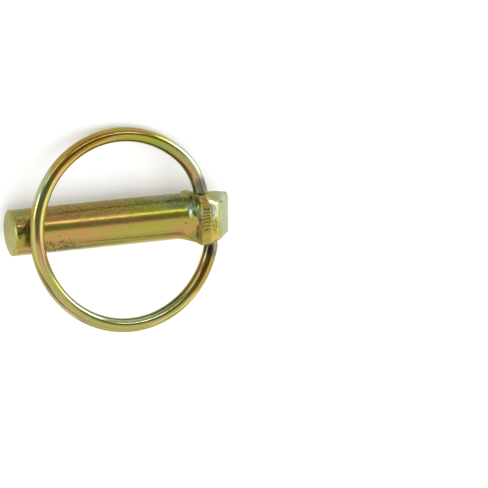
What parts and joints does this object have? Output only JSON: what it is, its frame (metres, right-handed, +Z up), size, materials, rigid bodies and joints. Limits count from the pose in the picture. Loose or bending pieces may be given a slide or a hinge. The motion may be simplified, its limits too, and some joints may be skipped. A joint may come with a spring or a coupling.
{
  "type": "lynch pin",
  "caption": "Lynch pin: a round steel shank with a collar and a faceted forged head, and a spring-wire ring that swings in the head and rests over the tip.",
  "frame": {"origin": "on the shank's axis, where the plain round shank ends and the flare to the head starts", "axes": "+X along the shank, from the tip to the head; +Z up, with the pin lying as it comes to rest on its collar, its tip and the edge of the ring, which is on the +Y side"},
  "size_m": [0.0553, 0.0454, 0.023],
  "materials": {
    "pin_zinc": "forged steel, zinc plated, with a yellow passivation that shades from gold to green and copper",
    "ring_zinc": "drawn spring wire, zinc plated, with a glossy yellow passivation"
  },
  "bodies": {
    "pin": {"pin": "pin_zinc"},
    "ring": {"ring": "ring_zinc"}
  },
  "joints": [
    {"name": "ring_swing", "type": "hinge", "parent": "pin", "child": "ring", "pos_m": [0.00685, 0.0008, 0.00331], "axis": [-0.1251, 0.9091, -0.3973], "range_deg": [0, 339]}
  ]
}
